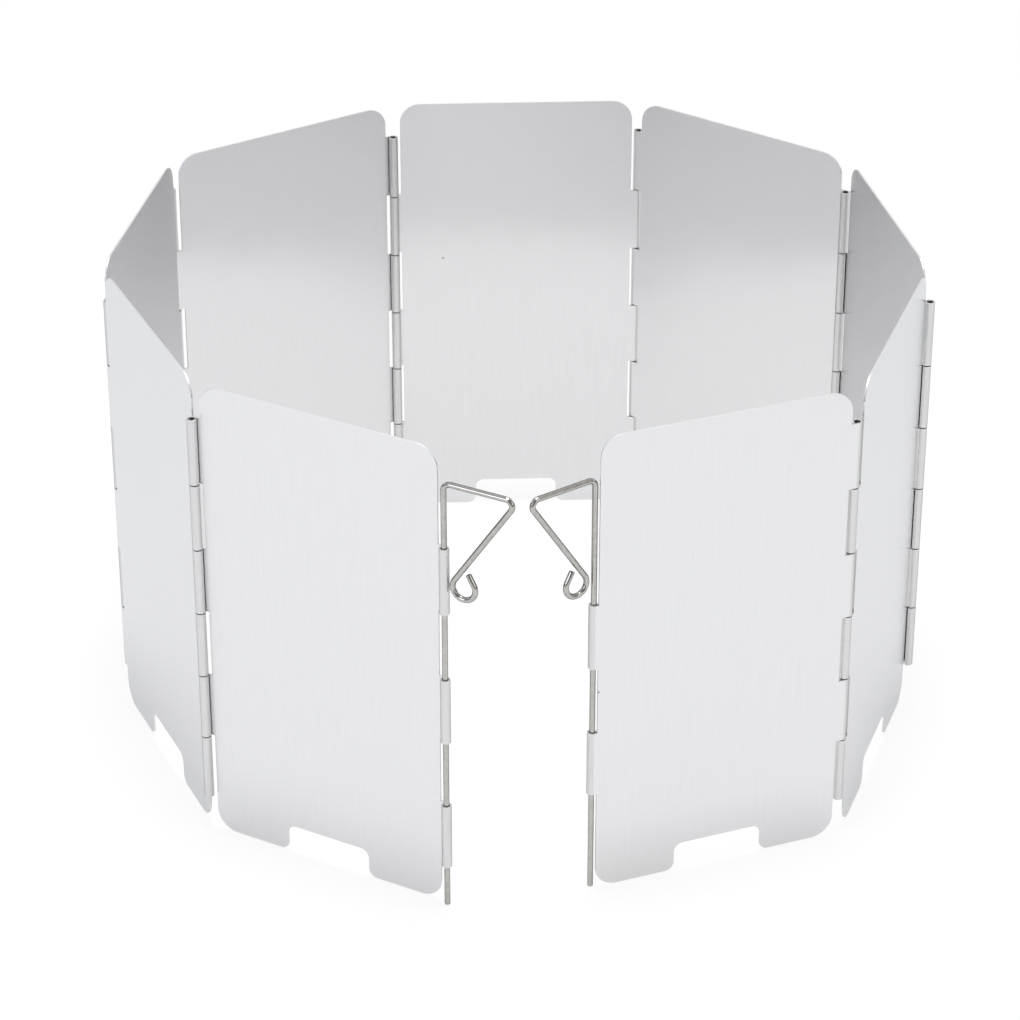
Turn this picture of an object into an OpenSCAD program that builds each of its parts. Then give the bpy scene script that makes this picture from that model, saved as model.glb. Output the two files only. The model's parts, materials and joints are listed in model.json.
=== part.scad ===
// Folding stove windscreen: nine sheet plates joined by rolled knuckle hinges on wire pins,
// with a wire ground stake in the free edge at each end.
// It stands on z = 0 in its ring set-up, with its opening towards -Y.

/* [Plates] */
// Height of each plate
plate_h = 135; // [110:1:180]
// Distance between the two hinge axes of one plate
plate_pitch = 73; // [60:0.5:100]
// Distance between the hinge axis and the stake's axis of the left end plate
left_end_pitch = 74; // [60:0.5:100]
// Distance between the hinge axis and the stake's axis of the right end plate
right_end_pitch = 72; // [60:0.5:100]
// Thickness of the sheet
sheet_t = 0.5; // [0.4:0.05:1]
// Radius of the four outer corners of a plate
corner_r = 6; // [2:0.5:9]
// Gap between a knuckle and the straight side edge of the plate beside it
edge_clear = 0.7; // [0.3:0.05:2]
// Gap between the left stake's wire and the straight side edge of the plate beside it
left_free_edge_clear = 1.5; // [0.4:0.05:2]
// Gap between the right stake's wire and the straight side edge of the plate beside it
right_free_edge_clear = 0.15; // [0:0.05:2]

/* [Air notch] */
// Width of the notch in the bottom edge of each plate
notch_w = 25; // [12:0.5:40]
// Height of the notch
notch_d = 8; // [6:0.5:14]
// Radius of the notch's inner corners and of the feet beside it
notch_r = 2.5; // [1:0.25:3]

/* [Knuckles] */
// Number of knuckle places along a side edge
slots = 6; // [4:2:8]
// Bare edge between the top of a plate and its first knuckle place
top_margin = 9.8; // [9:0.1:14]
// Bare edge between the last knuckle place and the bottom of a plate
bottom_margin = 10; // [9:0.1:14]
// Lift of the left stake's knuckles above the knuckle places of the hinges
left_free_lift = 2; // [0:0.1:4]
// Gap between one knuckle and the next along a hinge
knuckle_gap = 0.3; // [0.2:0.05:0.8]
// Gap between the rolled lip and the face of its own plate
lip_gap = 0.2; // [0.1:0.05:0.4]

/* [Wire] */
// Diameter of the wire of the hinge pins and stakes
wire_d = 1.5; // [1.2:0.05:2.5]
// Radial clearance between the wire and a knuckle
wire_clear = 0.1; // [0.05:0.01:0.1]
// Depth of a pin's top end below the mouth of its hinge
pin_recess = 2.5; // [0.5:0.1:4]
// Height of the crimped ring under a pin's lower end
crimp_h = 0.8; // [0.5:0.1:1.5]
// Reach of the crimped ring under a pin
crimp_w = 0.3; // [0.2:0.05:0.45]
// Clearance between a pin's lower end and its crimped ring
pin_end_gap = 0.05; // [0.02:0.01:0.2]

/* [Stakes] */
// Distance from the top of the plates down to the arm of the left stake's handle
left_handle_below_top = 8.7; // [6:0.1:20]
// Distance from the top of the plates down to the arm of the right stake's handle
right_handle_below_top = 12.2; // [6:0.1:20]
// Reach of the handle from the axis of the stake's shank
handle_reach = 19.2; // [14:0.1:26]
// Drop from the handle's arm to the middle of its hook
handle_drop = 28.6; // [20:0.1:36]
// Bend radius between the shank and the arm
shank_bend_r = 2; // [1.5:0.1:4]
// Bend radius at the outer end of the arm
arm_bend_r = 1.8; // [1.2:0.1:4]
// Radius of the open hook
hook_r = 3.2; // [2.4:0.1:4.5]
// Angle through which the wire turns round the hook
hook_turn = 242; // [200:1:250]
// Straight length at the open end of the hook
hook_tail = 3.2; // [1:0.1:5]
// Gap between the hook and the knuckles that it passes
hook_clear = 0.3; // [0.3:0.05:1]
// Length of the chamfer at a stake's tip
tip_chamfer = 0.3; // [0.1:0.05:0.6]
// Turn of the left handle towards the inside of the ring
left_handle_turn = 1; // [0:1:40]
// Turn of the right handle towards the outside of the ring
right_handle_turn = 14; // [0:1:40]

/* [Ring set-up] */
// Bend at each hinge on the left, from the back plate to the front
left_bends = [30, 47, 34.5, 37]; // [20:0.5:50]
// Bend at each hinge on the right, from the back plate to the front
right_bends = [38, 42.5, 30.5, 50]; // [20:0.5:50]

/* [Hidden] */
$fn = 64;

// Plates are counted from the front left round the back to the front right, and so are the axes:
// axis 0 is the left stake, axes 1 to 8 are the hinges and axis 9 is the right stake.
back = len(left_bends);
plates = back + 1 + len(right_bends);
last_axis = plates;

wire_r = wire_d / 2;
bore_r = wire_r + wire_clear;
knuckle_r = bore_r + sheet_t;
roll_mid_r = bore_r + sheet_t / 2;
// Where the rolled lip stops, short of its own plate
lip_a = asin((bore_r - lip_gap) / knuckle_r);

// How far a cut runs past the edge that it opens
cut_past = 1;

// Distance between a plate's two axes, and from an axis to the straight side edge of a plate
function pitch(i) = i == 0 ? left_end_pitch : i == plates - 1 ? right_end_pitch : plate_pitch;
function edge_at(k) = k == 0 ? wire_r + left_free_edge_clear
    : k == last_axis ? wire_r + right_free_edge_clear
    : knuckle_r + edge_clear;
slot_h = (plate_h - top_margin - bottom_margin) / slots;
hinge_top = plate_h - top_margin;

odd_slots = [for (s = [1:2:slots]) s];
even_slots = [for (s = [2:2:slots]) s];
// The right free edge leaves its first place bare, so that the handle can be pushed down
right_free_slots = [for (s = [3:2:slots]) s];

// Side of the plates that each axis lies on: 1 outside the ring, -1 inside it
axis_side = [1, 1, -1, 1, -1, 1, -1, 1, -1, -1];
// Knuckle places of each plate, on its first and on its second edge
edge_slots = [[even_slots, odd_slots], [even_slots, even_slots], [odd_slots, odd_slots],
              [even_slots, odd_slots], [even_slots, even_slots], [odd_slots, odd_slots],
              [even_slots, odd_slots], [even_slots, even_slots], [odd_slots, right_free_slots]];

hook_x = knuckle_r + hook_clear + wire_r + hook_r;
arm_bend_x = handle_reach - arm_bend_r;
// The slanted run is tangent to the arm's bend on one side and to the hook on the other
slant_dx = hook_x - arm_bend_x;
slant_dz = arm_bend_r - handle_drop;
slant_gap = hook_r + arm_bend_r;
slant_l = sqrt(slant_dx * slant_dx + slant_dz * slant_dz - slant_gap * slant_gap);
slant_heading = atan2(slant_dz, slant_dx) - atan2(slant_gap, slant_l);

// A bend of the wire is drawn thinner by the forming, and laps into the straight runs beside it
bend_thin = 0.005;
bend_lap = 0.1;

function total(list, n) = n == 0 ? 0 : list[n - 1] + total(list, n - 1);

// Direction in plan of a plate, and its outward normal
function heading(i) = i <= back ? total(left_bends, back - i) : -total(right_bends, i - back);
function along(i) = [cos(heading(i)), sin(heading(i))];
function outward(i) = [-sin(heading(i)), cos(heading(i))];

// Step in plan from a plate's first axis to its second
function axis_step(i) = pitch(i) * along(i)
    + (axis_side[i + 1] - axis_side[i]) * roll_mid_r * outward(i);

// Place in plan of an axis, with the back plate's middle at the origin
function chain_axis(k) = k == back ? [-plate_pitch / 2, axis_side[back] * roll_mid_r]
    : k < back ? chain_axis(k + 1) - axis_step(k)
    : chain_axis(k - 1) + axis_step(k - 1);

left_handle_heading = heading(0) + 180 + left_handle_turn;
right_handle_heading = heading(plates - 1) + right_handle_turn;
handle_tips = [chain_axis(0) + handle_reach * [cos(left_handle_heading), sin(left_handle_heading)],
               chain_axis(last_axis) + handle_reach * [cos(right_handle_heading), sin(right_handle_heading)]];

// The middle of the whole ring in plan, which is put at the origin
reach_x = [for (k = [0:last_axis]) for (s = [-1, 1]) chain_axis(k)[0] + s * knuckle_r];
reach_y = concat([for (k = [0:last_axis]) for (s = [-1, 1]) chain_axis(k)[1] + s * knuckle_r],
                 [for (p = handle_tips) for (s = [-1, 1]) p[1] + s * wire_r]);
middle = [(min(reach_x) + max(reach_x)) / 2, (min(reach_y) + max(reach_y)) / 2];

function axis_at(k) = chain_axis(k) - middle;
function slot_top(s) = hinge_top - (s - 1) * slot_h - knuckle_gap / 2;
function slot_bottom(s) = hinge_top - s * slot_h + knuckle_gap / 2;
function polar(r, a) = [r * cos(a), r * sin(a)];

plate_colour = [0.87, 0.88, 0.89];
wire_colour = [0.62, 0.62, 0.63];

// Rounded blank between the side edges of a plate, seen square on
module blank(first, second) {
    translate([first + corner_r, 0]) square([second - first - 2 * corner_r, plate_h]);
    translate([first, corner_r]) square([second - first, plate_h - 2 * corner_r]);
    for (x = [first + corner_r, second - corner_r])
        for (z = [corner_r, plate_h - corner_r])
            translate([x, z]) circle(r = corner_r);
}

// Air notch with rounded inner corners, and the rounding of the feet beside it
module air_notch(middle_x) {
    translate([middle_x, 0]) {
        translate([-notch_w / 2, -cut_past]) square([notch_w, notch_d - notch_r + cut_past]);
        translate([-notch_w / 2 + notch_r, 0]) square([notch_w - 2 * notch_r, notch_d]);
        for (s = [-1, 1]) {
            translate([s * (notch_w / 2 - notch_r), notch_d - notch_r]) circle(r = notch_r);
            difference() {
                translate([s * (notch_w + notch_r) / 2 - notch_r / 2, -cut_past])
                    square([notch_r, notch_r + cut_past]);
                translate([s * (notch_w / 2 + notch_r), notch_r]) circle(r = notch_r);
            }
        }
    }
}

// Section of a rolled knuckle about its axis, open between its lip and its own plate
module roll_section(inner, outer) {
    difference() {
        circle(r = outer);
        circle(r = inner);
        polygon([[0, 0], [bore_r / tan(lip_a), -bore_r], [0, -bore_r]]);
    }
}

// One knuckle with the tab that it is rolled from, on a first edge and the outside of its plate
module knuckle(s, edge, crimped) {
    translate([0, 0, slot_bottom(s)]) {
        linear_extrude(height = slot_top(s) - slot_bottom(s)) {
            roll_section(bore_r, knuckle_r);
            translate([0, -knuckle_r]) square([edge + sheet_t, sheet_t]);
        }
        if (crimped)
            linear_extrude(height = crimp_h) roll_section(wire_r - crimp_w, roll_mid_r);
    }
}

// All the knuckles of a plate about one axis; only a hinge is crimped, under its lowest knuckle
module knuckles(places, k) {
    hinge = k > 0 && k < last_axis;
    mirror([0, axis_side[k] > 0 ? 0 : 1, 0])
        translate([0, roll_mid_r, k == 0 ? left_free_lift : 0])
            for (s = places) knuckle(s, edge_at(k), hinge && s == slots);
}

// A whole plate in its place in the ring
module plate(i) {
    origin = axis_at(i) - axis_side[i] * roll_mid_r * outward(i);
    color(plate_colour)
        translate([origin[0], origin[1], 0]) rotate(heading(i)) {
            translate([0, sheet_t / 2, 0]) rotate([90, 0, 0])
                linear_extrude(height = sheet_t)
                    difference() {
                        blank(edge_at(i), pitch(i) - edge_at(i + 1));
                        air_notch(pitch(i) / 2);
                    }
            knuckles(edge_slots[i][0], i);
            translate([pitch(i), 0, 0]) mirror([1, 0, 0])
                knuckles(edge_slots[i][1], i + 1);
        }
}

// A hinge pin, standing on its hinge's crimped ring
module hinge_pin(k) {
    foot = slot_bottom(slots) + crimp_h + pin_end_gap;
    color(wire_colour)
        translate([axis_at(k)[0], axis_at(k)[1], foot])
            cylinder(r = wire_r, h = hinge_top - pin_recess - foot);
}

// A straight run of the wire in the XZ plane
module wire_run(start, a, l) {
    translate([start[0], 0, start[1]]) rotate([0, 90 - a, 0]) cylinder(r = wire_r, h = l);
}

// A bend of the wire in the XZ plane, which enters the runs at both its ends
module wire_bend(centre, r, from, to) {
    lap = bend_lap / r * 180 / PI;
    translate([centre[0], 0, centre[1]]) rotate([90, 0, 0]) rotate(min(from, to) - lap)
        rotate_extrude(angle = abs(to - from) + 2 * lap) translate([r, 0]) circle(r = wire_r - bend_thin);
}

// A stake on the Z axis, with its handle towards +X and the handle's arm at a height
module stake(arm_z) {
    shank_bend = [shank_bend_r, arm_z - shank_bend_r];
    arm_bend = [arm_bend_x, arm_z - arm_bend_r];
    hook = [hook_x, arm_z - handle_drop];
    hook_end = slant_heading - 90 + hook_turn;
    rotate_extrude()
        polygon([[0, 0], [wire_r - tip_chamfer, 0], [wire_r, tip_chamfer],
                 [wire_r, arm_z - shank_bend_r], [0, arm_z - shank_bend_r]]);
    wire_bend(shank_bend, shank_bend_r, 180, 90);
    wire_run([shank_bend_r, arm_z], 0, arm_bend_x - shank_bend_r);
    wire_bend(arm_bend, arm_bend_r, 90, slant_heading + 90);
    wire_run(arm_bend + polar(arm_bend_r, slant_heading + 90), slant_heading, slant_l);
    wire_bend(hook, hook_r, slant_heading - 90, hook_end);
    wire_run(hook + polar(hook_r, hook_end), hook_end + 90, hook_tail);
}

module stake_left() {
    color(wire_colour)
        translate([axis_at(0)[0], axis_at(0)[1], 0]) rotate(left_handle_heading)
            stake(plate_h - left_handle_below_top);
}

module stake_right() {
    color(wire_colour)
        translate([axis_at(last_axis)[0], axis_at(last_axis)[1], 0]) rotate(right_handle_heading)
            stake(plate_h - right_handle_below_top);
}

plate(0);  // plate_front_left
plate(1);  // plate_left_front
plate(2);  // plate_left_back
plate(3);  // plate_back_left
plate(4);  // plate_back_center
plate(5);  // plate_back_right
plate(6);  // plate_right_back
plate(7);  // plate_right_front
plate(8);  // plate_front_right
hinge_pin(1);  // pin_front_left
hinge_pin(2);  // pin_left_side
hinge_pin(3);  // pin_left_rear
hinge_pin(4);  // pin_back_left
hinge_pin(5);  // pin_back_right
hinge_pin(6);  // pin_right_rear
hinge_pin(7);  // pin_right_side
hinge_pin(8);  // pin_front_right
stake_left();
stake_right();
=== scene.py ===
import json
from math import asin, atan2, cos, pi, radians, sin, sqrt

import bmesh
import bpy
from mathutils import Matrix, Vector


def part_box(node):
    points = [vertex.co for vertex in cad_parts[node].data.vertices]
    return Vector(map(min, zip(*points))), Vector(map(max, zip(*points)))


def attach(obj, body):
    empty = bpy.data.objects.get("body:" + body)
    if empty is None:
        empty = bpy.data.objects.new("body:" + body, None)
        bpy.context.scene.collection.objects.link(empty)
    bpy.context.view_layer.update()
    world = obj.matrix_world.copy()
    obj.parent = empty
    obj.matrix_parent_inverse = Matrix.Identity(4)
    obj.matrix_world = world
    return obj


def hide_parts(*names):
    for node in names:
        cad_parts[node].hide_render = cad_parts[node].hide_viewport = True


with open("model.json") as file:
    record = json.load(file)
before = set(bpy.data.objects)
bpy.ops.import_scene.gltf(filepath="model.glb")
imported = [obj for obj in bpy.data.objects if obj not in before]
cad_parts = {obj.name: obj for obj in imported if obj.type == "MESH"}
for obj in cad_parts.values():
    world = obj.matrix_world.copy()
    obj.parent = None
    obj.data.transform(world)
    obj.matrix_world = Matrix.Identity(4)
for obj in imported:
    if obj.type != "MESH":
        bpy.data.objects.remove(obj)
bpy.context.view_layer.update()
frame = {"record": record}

MM = 0.001
record = frame["record"]
body_of_node = {n: b for b, nodes in record["behaviour"]["bodies"].items() for n in nodes}

# Driving sizes of the windscreen, in mm, with its turns in degrees
PLATE_H = (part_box("plate_back_center")[1][2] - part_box("plate_back_center")[0][2]) / MM
SHEET_T = 0.5
CORNER_R = 6.0
NOTCH_W = 25.0
NOTCH_D = 8.0
NOTCH_R = 2.5
SLOTS = 6
TOP_MARGIN = 9.8
BOTTOM_MARGIN = 10.0
KNUCKLE_GAP = 0.3
LIP_GAP = 0.2
WIRE_R = 0.75
BORE_R = 0.85
EDGE_CLEAR = 0.7
LEFT_FREE_EDGE_CLEAR = 1.5
RIGHT_FREE_EDGE_CLEAR = 0.15
LEFT_FREE_LIFT = 2.0
CRIMP_H = 0.8
CRIMP_W = 0.3
LEFT_HANDLE_BELOW_TOP = 8.7
RIGHT_HANDLE_BELOW_TOP = 12.2
HANDLE_REACH = 19.2
HANDLE_DROP = 28.6
SHANK_BEND_R = 2.0
ARM_BEND_R = 1.8
HOOK_R = 3.2
HOOK_TURN = 242.0
HOOK_TAIL = 3.2
HOOK_CLEAR = 0.3
LEFT_HANDLE_TURN = 1.0
RIGHT_HANDLE_TURN = 14.0

# Worked out from them
KNUCKLE_R = BORE_R + SHEET_T
ROLL_R = BORE_R + SHEET_T / 2
HINGE_TOP = PLATE_H - TOP_MARGIN
SLOT_H = (HINGE_TOP - BOTTOM_MARGIN) / SLOTS
# A tab is rolled on past three quarters of a turn, until its lip nearly meets its own sheet
ROLL_ANGLE = 1.5 * pi + asin((BORE_R - LIP_GAP) / KNUCKLE_R)

# Softening of the edges, in mm, and the steps of the round shapes
EDGE_SOFT = 0.06
EDGE_STEPS = 2
WIRE_END_SOFT = 0.22
WIRE_END_STEPS = 3
CORNER_STEPS = 12
ROLL_STEPS = 32
WIRE_SIDES = 32
SHANK_BEND_STEPS = 16
ARM_BEND_STEPS = 20
HOOK_STEPS = 48
# Edges bent by more than RIM are softened, and those still bent by more than SHARP are shaded as sharp
RIM = radians(60)
SHARP = radians(35)
# Only the two flat sides of a sheet are larger than this, in square mm
FLAT_SIDE_AREA = 1000.0
# A face ends a tab if all its corners are this near the axis in x, in mm
AT_AXIS = 1e-4

# Plates from the front left round the back to the front right, and the axes between them
PLATES = ["plate_front_left", "plate_left_front", "plate_left_back", "plate_back_left", "plate_back_center",
          "plate_back_right", "plate_right_back", "plate_right_front", "plate_front_right"]
HINGES = ["front_left_hinge", "left_side_hinge", "left_rear_hinge", "left_wing_fold",
          "right_wing_fold", "right_rear_hinge", "right_side_hinge", "front_right_hinge"]
PINS = ["pin_front_left", "pin_left_side", "pin_left_rear", "pin_back_left",
        "pin_back_right", "pin_right_rear", "pin_right_side", "pin_front_right"]
# Side of the plates that each axis lies on: 1 outside the ring, -1 inside it
AXIS_SIDE = [1, 1, -1, 1, -1, 1, -1, 1, -1, -1]
# Knuckle places, counted from the top, on each plate's first and second edge
ODD = list(range(1, SLOTS + 1, 2))
EVEN = list(range(2, SLOTS + 1, 2))
RIGHT_FREE = ODD[1:]
EDGE_SLOTS = [(EVEN, ODD), (EVEN, EVEN), (ODD, ODD), (EVEN, ODD), (EVEN, EVEN),
              (ODD, ODD), (EVEN, ODD), (EVEN, EVEN), (ODD, RIGHT_FREE)]

# Patterns of the finishes: widths, heights, radii and spacing in mm, the rest as shares of 1
BRUSH_W = 0.3
BRUSH_SQUEEZE = 0.03
WAVE_W = 30.0
WAVE_H = 0.25
WAVE_STRENGTH = 0.5
SPECK_APART = 20.0
SPECK_R = 0.2
SPECK_FADE_R = 0.36
SPECK_SHARE = 0.75
SPECK_COLOUR = "#55555a"
CUT_FROM = 0.1
CUT_FULL = 0.3
CUT_ROUGHNESS = 0.5
DRAW_MARK_W = 1.2
DRAW_SPREAD = 0.04

# The camera, found by fitting the ring to the photograph: its place in mm and its turns in degrees
CAMERA_AT = (-40.09, -890.82, 564.52)
CAMERA_YAW = 2.422
CAMERA_PITCH = 29.515
FOCAL_PX = 3669.1
PHOTO_PX = 1020
SENSOR_MM = 36.0

# The table, in metres, and the shares of plain white in what the camera sees and metal mirrors of it
TABLE_HALF = 0.7
TABLE_BELOW = 0.0002
TABLE_WHITE = 1.04
TABLE_SEEN = 0.8
TABLE_MIRRORED = 0.4
# The surround is bright towards this direction and dim away from it, and metal mirrors it a little whiter
BRIGHT_WAY = (0, 0.8, 0.6)
DIM_UNTIL = 0.1
BRIGHT_FROM = 0.5
DIM = 0.03
BRIGHT = 0.6
SURROUND_SEEN = 1.0
SURROUND_MIRRORED = 0.25
# Soft boxes: name, place and aim in metres, width in metres, watts and colour
LAMPS = [("key", (0.02, -0.04, 1.4), (0, 0, 0), 0.4, 11.6, "#ffffff"),
         ("left_fill", (-0.85, -0.8, 0.5), (-0.1, 0, 0), 0.6, 3.9, "#ecebf4"),
         ("right_fill", (0.85, -0.8, 0.5), (0.1, 0, 0), 0.6, 2.0, "#f6f3ee"),
         ("left_side", (-1.0, 0.45, 0.4), (-0.1, 0, 0), 0.5, 1.6, "#b9d2f2"),
         ("right_side", (1.0, 0.45, 0.4), (0.1, 0, 0), 0.5, 1.6, "#b9d2f2")]


def axes_in_plan():
    """The ten upright axes in plan, in mm: the left stake, the hinges and the right stake."""
    joints = {j["name"]: j for j in record["behaviour"]["joints"]}
    mounts = {m["name"]: m for m in record["mounts"]}
    places = [mounts["left_stake_tip"]] + [joints[h] for h in HINGES] + [mounts["right_stake_tip"]]
    return [Vector(p["pos_m"][:2]) / MM for p in places]


AXES = axes_in_plan()


def plate_frame(i):
    """A plate's heading in plan, its hinge pitch, and the matrix from its own frame to the part's, in mm.

    In the plate's own frame x runs from its first axis to its second, y points out of the ring and the
    middle of the sheet is at y = 0."""
    step = AXES[i + 1] - AXES[i]
    aside = (AXIS_SIDE[i + 1] - AXIS_SIDE[i]) * ROLL_R
    pitch = sqrt(step.length_squared - aside * aside)
    heading = atan2(step.y, step.x) - atan2(aside, pitch)
    turn = Matrix.Rotation(heading, 4, "Z")
    start = AXES[i].to_3d() - turn @ Vector((0, AXIS_SIDE[i] * ROLL_R, 0))
    return heading, pitch, Matrix.Translation(start) @ turn


def slot_span(s):
    """Bottom and top of a knuckle place."""
    top = HINGE_TOP - (s - 1) * SLOT_H
    return top - SLOT_H + KNUCKLE_GAP / 2, top - KNUCKLE_GAP / 2


def edge_at(k):
    """Distance from an axis to the straight side edge of a plate."""
    if k == 0:
        return WIRE_R + LEFT_FREE_EDGE_CLEAR
    return WIRE_R + RIGHT_FREE_EDGE_CLEAR if k == len(AXES) - 1 else KNUCKLE_R + EDGE_CLEAR


def rims(bm):
    """Turns the faces outwards and gives the edges that are to be softened."""
    bmesh.ops.recalc_face_normals(bm, faces=bm.faces)
    return [e for e in bm.edges if e.calc_face_angle(0) > RIM]


def finished(name, bm, place, materials, node_name):
    """Turns a bmesh in mm into a piece that stands for a CAD node and rides on its body."""
    bmesh.ops.transform(bm, matrix=Matrix.Scale(MM, 4) @ place, verts=bm.verts)
    bmesh.ops.recalc_face_normals(bm, faces=bm.faces)
    for e in bm.edges:
        e.smooth = e.calc_face_angle(0) < SHARP
    mesh = bpy.data.meshes.new(name)
    bm.to_mesh(mesh)
    bm.free()
    for material in materials:
        mesh.materials.append(material)
    piece = bpy.data.objects.new(name, mesh)
    bpy.context.scene.collection.objects.link(piece)
    piece.modifiers.new("soft_edges", "WEIGHTED_NORMAL").keep_sharp = True
    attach(piece, body_of_node[node_name])
    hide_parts(node_name)


def plate_outline(i, pitch):
    """Corners of a plate's flat blank with its tabs, anticlockwise from the bottom left: (x, z, radius)."""
    first, second = edge_at(i), pitch - edge_at(i + 1)
    half = NOTCH_W / 2
    middle = pitch / 2
    corners = [(first, 0, CORNER_R)]
    corners += [(middle - half, 0, NOTCH_R), (middle - half, NOTCH_D, NOTCH_R)]
    corners += [(middle + half, NOTCH_D, NOTCH_R), (middle + half, 0, NOTCH_R)]
    corners += [(second, 0, CORNER_R)]
    for s in sorted(EDGE_SLOTS[i][1], reverse=True):
        low, high = slot_span(s)
        corners += [(second, low, 0), (pitch, low, 0), (pitch, high, 0), (second, high, 0)]
    corners += [(second, PLATE_H, CORNER_R), (first, PLATE_H, CORNER_R)]
    lift = LEFT_FREE_LIFT if i == 0 else 0
    for s in sorted(EDGE_SLOTS[i][0]):
        low, high = [z + lift for z in slot_span(s)]
        corners += [(first, high, 0), (0, high, 0), (0, low, 0), (first, low, 0)]
    return corners


def roll(bm, face, x, turn_way, side):
    """Rolls a face round the axis at x; turn_way is -1 at a plate's first edge and 1 at its second."""
    bmesh.ops.spin(bm, geom=[face] + list(face.edges) + list(face.verts), cent=(x, side * ROLL_R, 0),
                   axis=(0, 0, 1), angle=turn_way * side * ROLL_ANGLE, steps=ROLL_STEPS)


def roll_tabs(bm, x, turn_way, side):
    """Rolls every tab that ends at x into an open knuckle."""
    ends = [f for f in bm.faces if all(abs(v.co.x - x) < AT_AXIS for v in f.verts)]
    for f in ends:
        roll(bm, f, x, turn_way, side)


def crimp(bm, x, turn_way, side):
    """The ring in the bottom end of a hinge's lowest knuckle, too narrow for the pin to drop through."""
    low = slot_span(SLOTS)[0]
    inner, outer = WIRE_R - CRIMP_W, ROLL_R
    corners = [(inner, low), (outer, low), (outer, low + CRIMP_H), (inner, low + CRIMP_H)]
    face = bm.faces.new([bm.verts.new((x, side * (ROLL_R - r), z)) for r, z in corners])
    roll(bm, face, x, turn_way, side)


def make_plate(i, sheet, knuckle):
    """One sheet plate: a rounded blank with an air notch, its tabs rolled into knuckles."""
    pitch, place = plate_frame(i)[1:]
    bm = bmesh.new()
    corners = plate_outline(i, pitch)
    verts = [bm.verts.new((c[0], -SHEET_T / 2, c[1])) for c in corners]
    bm.faces.new(verts)
    for radius in (CORNER_R, NOTCH_R):
        chosen = [v for v, c in zip(verts, corners) if c[2] == radius]
        bmesh.ops.bevel(bm, geom=chosen, offset=radius, affect="VERTICES", segments=CORNER_STEPS,
                        profile=0.5, material=-1)
    thick = bmesh.ops.extrude_face_region(bm, geom=list(bm.faces))
    moved = [g for g in thick["geom"] if isinstance(g, bmesh.types.BMVert)]
    bmesh.ops.translate(bm, vec=(0, SHEET_T, 0), verts=moved)
    roll_tabs(bm, 0, -1, AXIS_SIDE[i])
    roll_tabs(bm, pitch, 1, AXIS_SIDE[i + 1])
    if i > 0 and SLOTS in EDGE_SLOTS[i][0]:
        crimp(bm, 0, -1, AXIS_SIDE[i])
    if i < len(PLATES) - 1 and SLOTS in EDGE_SLOTS[i][1]:
        crimp(bm, pitch, 1, AXIS_SIDE[i + 1])
    bmesh.ops.bevel(bm, geom=rims(bm), offset=EDGE_SOFT, affect="EDGES", segments=EDGE_STEPS, profile=0.5,
                    material=-1, clamp_overlap=True)
    first, second = edge_at(i), pitch - edge_at(i + 1)
    for f in bm.faces:
        f.smooth = f.calc_area() < FLAT_SIDE_AREA
        f.material_index = 0 if first < f.calc_center_median().x < second else 1
    finished(PLATES[i].replace("plate", "sheet"), bm, place, [sheet, knuckle], PLATES[i])


def wire_profile(bm):
    """The round end face that a wire is drawn from, on the XY plane."""
    bmesh.ops.create_circle(bm, cap_ends=True, segments=WIRE_SIDES, radius=WIRE_R)
    return list(bm.faces)[0]


def draw_on(bm, face, run):
    """Draws the wire straight on from its end face by a vector and returns the new end face."""
    drawn = bmesh.ops.extrude_face_region(bm, geom=[face])
    end = [g for g in drawn["geom"] if isinstance(g, bmesh.types.BMFace)][0]
    bmesh.ops.translate(bm, vec=run, verts=end.verts)
    # An old end face that is now inside the wire goes, and the wire's own first end stays
    if face.is_valid and all(len(e.link_faces) > 2 for e in face.edges):
        bmesh.ops.delete(bm, geom=[face], context="FACES_ONLY")
    return end


def bend_on(bm, face, centre, angle, steps):
    """Bends the wire on from its end face in the XZ plane and returns the new end face."""
    bent = bmesh.ops.spin(bm, geom=[face] + list(face.edges) + list(face.verts), cent=centre, axis=(0, 1, 0),
                          angle=angle, steps=steps)
    return [g for g in bent["geom_last"] if isinstance(g, bmesh.types.BMFace)][0]


def smooth_wire(bm):
    """Rounds the cut ends of a wire and smooths its sides."""
    bmesh.ops.bevel(bm, geom=rims(bm), offset=WIRE_END_SOFT, affect="EDGES", segments=WIRE_END_STEPS,
                    profile=0.5, material=-1)
    for f in bm.faces:
        f.smooth = len(f.verts) == 4


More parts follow.
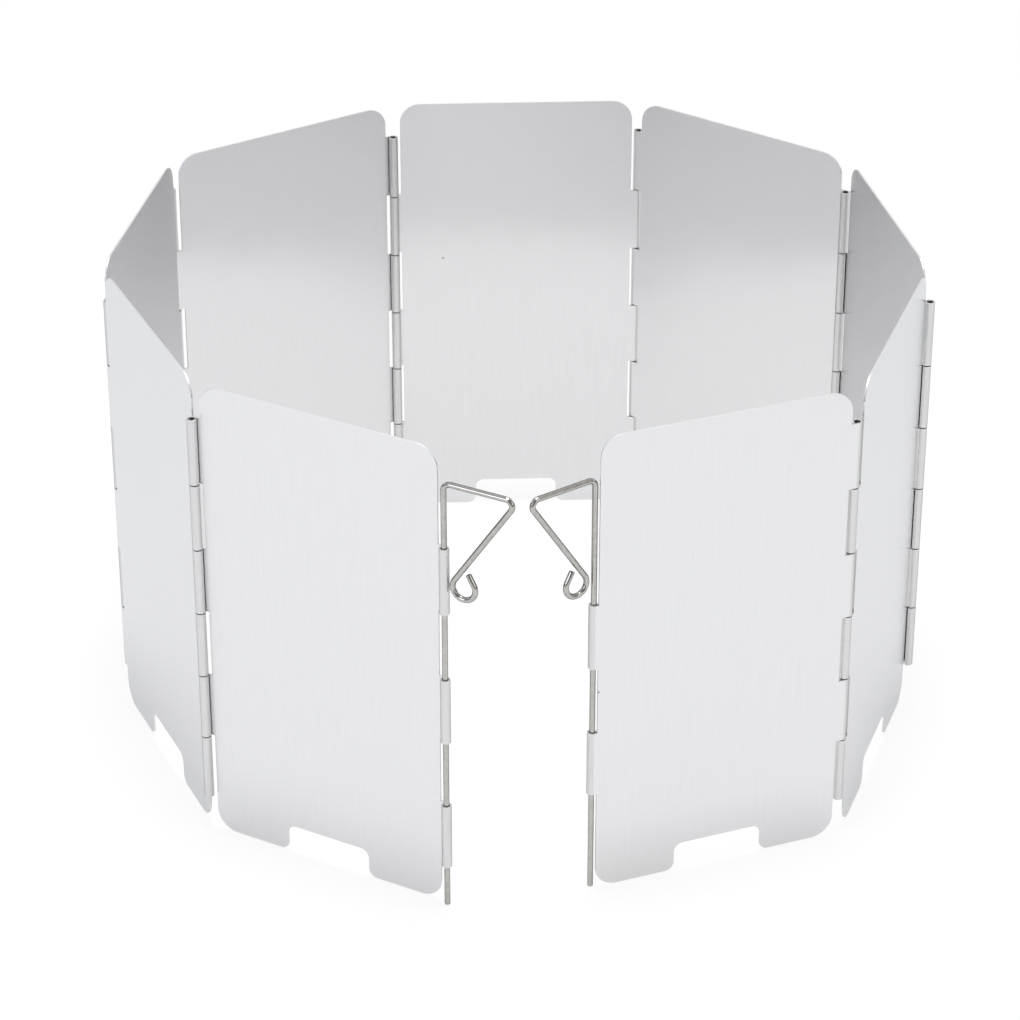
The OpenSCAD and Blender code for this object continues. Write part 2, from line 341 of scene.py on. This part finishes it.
def make_stake(node_name, axis, heading, arm_z, material):
    """A ground stake: a straight shank, then a handle bent to a triangle that ends in an open hook."""
    hook = Vector((KNUCKLE_R + HOOK_CLEAR + WIRE_R + HOOK_R, 0, arm_z - HANDLE_DROP))
    shank_bend = Vector((SHANK_BEND_R, 0, arm_z - SHANK_BEND_R))
    arm_bend = Vector((HANDLE_REACH - ARM_BEND_R, 0, arm_z - ARM_BEND_R))
    gap = HOOK_R + ARM_BEND_R
    across = hook - arm_bend
    slant_l = sqrt(across.length_squared - gap * gap)
    slant = atan2(across.z, across.x) - atan2(gap, slant_l)
    hook_turn = radians(HOOK_TURN)
    tail_way = slant + hook_turn
    bm = bmesh.new()
    end = wire_profile(bm)
    end = draw_on(bm, end, (0, 0, shank_bend.z))
    end = bend_on(bm, end, shank_bend, pi / 2, SHANK_BEND_STEPS)
    end = draw_on(bm, end, (arm_bend.x - shank_bend.x, 0, 0))
    end = bend_on(bm, end, arm_bend, -slant, ARM_BEND_STEPS)
    end = draw_on(bm, end, Vector((cos(slant), 0, sin(slant))) * slant_l)
    end = bend_on(bm, end, hook, -hook_turn, HOOK_STEPS)
    draw_on(bm, end, Vector((cos(tail_way), 0, sin(tail_way))) * HOOK_TAIL)
    smooth_wire(bm)
    place = Matrix.Translation(axis.to_3d()) @ Matrix.Rotation(heading, 4, "Z")
    finished(node_name.replace("stake", "ground_stake"), bm, place, [material], node_name)


def make_pin(node_name, axis, material):
    """A straight hinge pin with rounded ends."""
    low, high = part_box(node_name)
    bm = bmesh.new()
    draw_on(bm, wire_profile(bm), (0, 0, (high[2] - low[2]) / MM))
    smooth_wire(bm)
    place = Matrix.Translation((axis.x, axis.y, low[2] / MM))
    finished(node_name.replace("pin", "hinge_pin"), bm, place, [material], node_name)


def linear(code):
    """An sRGB hex colour as linear RGBA."""
    parts = [int(code[k:k + 2], 16) / 255 for k in (1, 3, 5)]
    return tuple(c / 12.92 if c <= 0.04045 else ((c + 0.055) / 1.055) ** 2.4 for c in parts) + (1.0,)


def add(tree, kind, inputs=(), **settings):
    """Adds a node with its settings; each input is (socket, value or the output socket it comes from)."""
    made = tree.nodes.new(kind)
    for key, value in settings.items():
        setattr(made, key, value)
    for key, value in inputs:
        if isinstance(value, bpy.types.NodeSocket):
            tree.links.new(value, made.inputs[key])
        else:
            made.inputs[key].default_value = value
    return made


def new_material(name):
    """A material and its node tree, still empty."""
    material = bpy.data.materials.new(name)
    material.use_nodes = True
    material.node_tree.nodes.clear()
    return material, material.node_tree


def per_mm(size):
    """Texture scale, per metre, at which a pattern's features are that many mm across."""
    return 1 / (size * MM)


def sheet_aluminium(name, dark, pale, edge, roughness, spread):
    """Satin sheet, finely brushed up and down, a little wavy, with a few dark specks and duller cut edges."""
    material, tree = new_material(name)
    place = add(tree, "ShaderNodeTexCoord").outputs
    # Brush lines, drawn wider than the real ones so that they show
    along = add(tree, "ShaderNodeMapping", [("Vector", place["Object"]), ("Scale", (1, 1, BRUSH_SQUEEZE))])
    lines = add(tree, "ShaderNodeTexNoise", [("Vector", along.outputs[0]), ("Scale", per_mm(BRUSH_W)),
                                             ("Detail", 2)]).outputs["Fac"]
    wave = add(tree, "ShaderNodeTexNoise", [("Vector", place["Object"]), ("Scale", per_mm(WAVE_W)),
                                            ("Detail", 1)])
    specks = add(tree, "ShaderNodeTexVoronoi", [("Vector", place["Object"]), ("Scale", per_mm(SPECK_APART))])
    tone = add(tree, "ShaderNodeMix", [("Factor", lines), ("A", linear(dark)), ("B", linear(pale))],
               data_type="RGBA")
    speck = add(tree, "ShaderNodeMapRange", [("Value", specks.outputs["Distance"]),
                                             ("From Min", SPECK_R / SPECK_APART),
                                             ("From Max", SPECK_FADE_R / SPECK_APART),
                                             ("To Min", SPECK_SHARE), ("To Max", 0.0)])
    marked = add(tree, "ShaderNodeMix", [("Factor", speck.outputs[0]), ("A", tone.outputs["Result"]),
                                         ("B", linear(SPECK_COLOUR))], data_type="RGBA")
    # Edges that face up or down were cut, not brushed
    facing = add(tree, "ShaderNodeSeparateXYZ", [("Vector", place["Normal"])])
    upright = add(tree, "ShaderNodeMath", [(0, facing.outputs["Z"])], operation="ABSOLUTE")
    cut = add(tree, "ShaderNodeMapRange", [("Value", upright.outputs[0]), ("From Min", CUT_FROM),
                                           ("From Max", CUT_FULL)]).outputs[0]
    brushed = add(tree, "ShaderNodeMapRange", [("Value", lines), ("To Min", roughness - spread),
                                               ("To Max", roughness + spread)])
    rough = add(tree, "ShaderNodeMix", [("Factor", cut), ("A", brushed.outputs[0]), ("B", CUT_ROUGHNESS)],
                data_type="FLOAT")
    # The lines run up and down, so that highlights spread level round the ring
    streak = add(tree, "ShaderNodeMix", [("Factor", cut), ("A", 1.0), ("B", 0.0)], data_type="FLOAT")
    normal = add(tree, "ShaderNodeNewGeometry").outputs["Normal"]
    level = add(tree, "ShaderNodeVectorMath", [(0, normal), (1, (0, 0, 1))], operation="CROSS_PRODUCT")
    bump = add(tree, "ShaderNodeBump", [("Height", wave.outputs["Fac"]), ("Strength", WAVE_STRENGTH),
                                        ("Distance", WAVE_H * MM)])
    # An outline tint darker than white is painted shade: it darkens the sheet towards its outline
    shader = add(tree, "ShaderNodeBsdfPrincipled", [("Base Color", marked.outputs["Result"]),
                                                    ("Metallic", 1.0), ("Roughness", rough.outputs[0]),
                                                    ("Normal", bump.outputs[0]),
                                                    ("Specular Tint", linear(edge)),
                                                    ("Anisotropic", streak.outputs[0]),
                                                    ("Tangent", level.outputs["Vector"])])
    add(tree, "ShaderNodeOutputMaterial", [("Surface", shader.outputs[0])])
    return material


def drawn_wire(name, dark, pale, edge, roughness):
    """Drawn steel wire: bright and smooth, with faint marks from drawing, and painted shade that darkens it
    at its outline.
    """
    material, tree = new_material(name)
    at = add(tree, "ShaderNodeTexCoord").outputs["Object"]
    marks = add(tree, "ShaderNodeTexNoise", [("Vector", at), ("Scale", per_mm(DRAW_MARK_W)),
                                             ("Detail", 4)]).outputs["Fac"]
    tone = add(tree, "ShaderNodeMix", [("Factor", marks), ("A", linear(dark)), ("B", linear(pale))],
               data_type="RGBA")
    rough = add(tree, "ShaderNodeMapRange", [("Value", marks), ("To Min", roughness - DRAW_SPREAD),
                                             ("To Max", roughness + DRAW_SPREAD)])
    # The outline tint is painted shade, darkening the wire towards its outline
    shader = add(tree, "ShaderNodeBsdfPrincipled", [("Base Color", tone.outputs["Result"]), ("Metallic", 1.0),
                                                    ("Roughness", rough.outputs[0]),
                                                    ("Specular Tint", linear(edge))])
    add(tree, "ShaderNodeOutputMaterial", [("Surface", shader.outputs[0])])
    return material


def white_share(tree, seen, mirrored):
    """The share of plain white: one for the camera's rays, one for those that metal or glass turns."""
    path = add(tree, "ShaderNodeLightPath").outputs
    turned = add(tree, "ShaderNodeMath", [(0, path["Is Glossy Ray"]), (1, path["Is Transmission Ray"])],
                 operation="ADD")
    direct = add(tree, "ShaderNodeMath", [(0, path["Is Camera Ray"]), (1, seen)], operation="MULTIPLY")
    return add(tree, "ShaderNodeMath", [(0, turned.outputs[0]), (1, mirrored), (2, direct.outputs[0])],
               operation="MULTIPLY_ADD").outputs[0]


def white_table():
    """A matt white table that the camera sees as nearly pure white."""
    material, tree = new_material("matt_white_table")
    paint = add(tree, "ShaderNodeBsdfDiffuse", [("Color", linear("#f6f6f6"))])
    glow = add(tree, "ShaderNodeEmission", [("Color", linear("#ffffff")), ("Strength", TABLE_WHITE)])
    both = add(tree, "ShaderNodeMixShader", [("Fac", white_share(tree, TABLE_SEEN, TABLE_MIRRORED)),
                                             (1, paint.outputs[0]), (2, glow.outputs[0])])
    add(tree, "ShaderNodeOutputMaterial", [("Surface", both.outputs[0])])
    return material


def make_table():
    """The table, which isn't part of the object."""
    bm = bmesh.new()
    bmesh.ops.create_grid(bm, x_segments=1, y_segments=1, size=TABLE_HALF)
    mesh = bpy.data.meshes.new("table")
    bm.to_mesh(mesh)
    bm.free()
    mesh.materials.append(white_table())
    table = bpy.data.objects.new("table", mesh)
    table.location.z = -TABLE_BELOW
    bpy.context.scene.collection.objects.link(table)


def make_surround():
    """A studio surround: bright above and behind, dim low down and in front, white where it is seen."""
    world = bpy.data.worlds.new("studio")
    world.use_nodes = True
    tree = world.node_tree
    tree.nodes.clear()
    way = add(tree, "ShaderNodeTexCoord").outputs["Generated"]
    towards = add(tree, "ShaderNodeVectorMath", [(0, way), (1, BRIGHT_WAY)], operation="DOT_PRODUCT")
    shade = add(tree, "ShaderNodeMapRange", [("Value", towards.outputs["Value"]), ("From Min", DIM_UNTIL),
                                             ("From Max", BRIGHT_FROM), ("To Min", DIM), ("To Max", BRIGHT)],
                interpolation_type="SMOOTHSTEP")
    strength = add(tree, "ShaderNodeMix", [("Factor", white_share(tree, SURROUND_SEEN, SURROUND_MIRRORED)),
                                           ("A", shade.outputs[0]), ("B", 1.0)], data_type="FLOAT")
    light = add(tree, "ShaderNodeBackground", [("Color", linear("#ffffff")),
                                               ("Strength", strength.outputs[0])])
    add(tree, "ShaderNodeOutputWorld", [("Surface", light.outputs[0])])
    bpy.context.scene.world = world


def make_lamp(name, at, towards, width, watts, colour):
    """A square soft box."""
    data = bpy.data.lights.new(name, "AREA")
    data.size = width
    data.energy = watts
    data.color = linear(colour)[:3]
    lamp = bpy.data.objects.new(name, data)
    lamp.location = at
    lamp.rotation_euler = (Vector(towards) - Vector(at)).to_track_quat("-Z", "Y").to_euler()
    bpy.context.scene.collection.objects.link(lamp)


def make_camera():
    """The camera of the photograph."""
    data = bpy.data.cameras.new("camera")
    data.sensor_width = SENSOR_MM
    data.lens = FOCAL_PX / PHOTO_PX * SENSOR_MM
    camera = bpy.data.objects.new("camera", data)
    camera.location = Vector(CAMERA_AT) * MM
    camera.rotation_euler = (radians(90 - CAMERA_PITCH), 0, radians(-CAMERA_YAW))
    bpy.context.scene.collection.objects.link(camera)
    bpy.context.scene.camera = camera


make_camera()
make_surround()
for lamp_row in LAMPS:
    make_lamp(*lamp_row)
make_table()

# Each finish has a darker and a paler colour, a tint at its outline, a roughness and, on sheet, its spread
# Pale satin sheet with wide, soft highlights
plate_sheet = sheet_aluminium("brushed_sheet_aluminium", "#e3e3e4", "#ebebec", "#ffffff", 0.22, 0.02)
# The same sheet, less even where it is rolled, with painted shade: greyer colours and a darker outline tint
# on the rounded knuckles
plate_knuckle = sheet_aluminium("rolled_knuckle_aluminium", "#d0d0d0", "#e6e6e6", "#a0a0a0", 0.26, 0.05)
# Bright, smooth wire, with painted shade: a near-black outline tint darkens it towards its outline
stake_wire = drawn_wire("drawn_stainless_wire", "#a3a19d", "#cfcdc9", "#202020", 0.18)
# Duller wire that the hinges nearly hide, painted dark as shade in the knuckles' bores
pin_wire = drawn_wire("drawn_steel_pin_wire", "#4c4b4a", "#6a6968", "#404040", 0.3)

for plate_number in range(len(PLATES)):
    make_plate(plate_number, plate_sheet, plate_knuckle)
for pin, pin_axis in zip(PINS, AXES[1:]):
    make_pin(pin, pin_axis, pin_wire)
left_heading = plate_frame(0)[0] + pi + radians(LEFT_HANDLE_TURN)
right_heading = plate_frame(len(PLATES) - 1)[0] + radians(RIGHT_HANDLE_TURN)
make_stake("stake_left", AXES[0], left_heading, PLATE_H - LEFT_HANDLE_BELOW_TOP, stake_wire)
make_stake("stake_right", AXES[-1], right_heading, PLATE_H - RIGHT_HANDLE_BELOW_TOP, stake_wire)

bpy.context.scene.view_settings.view_transform = "Standard"
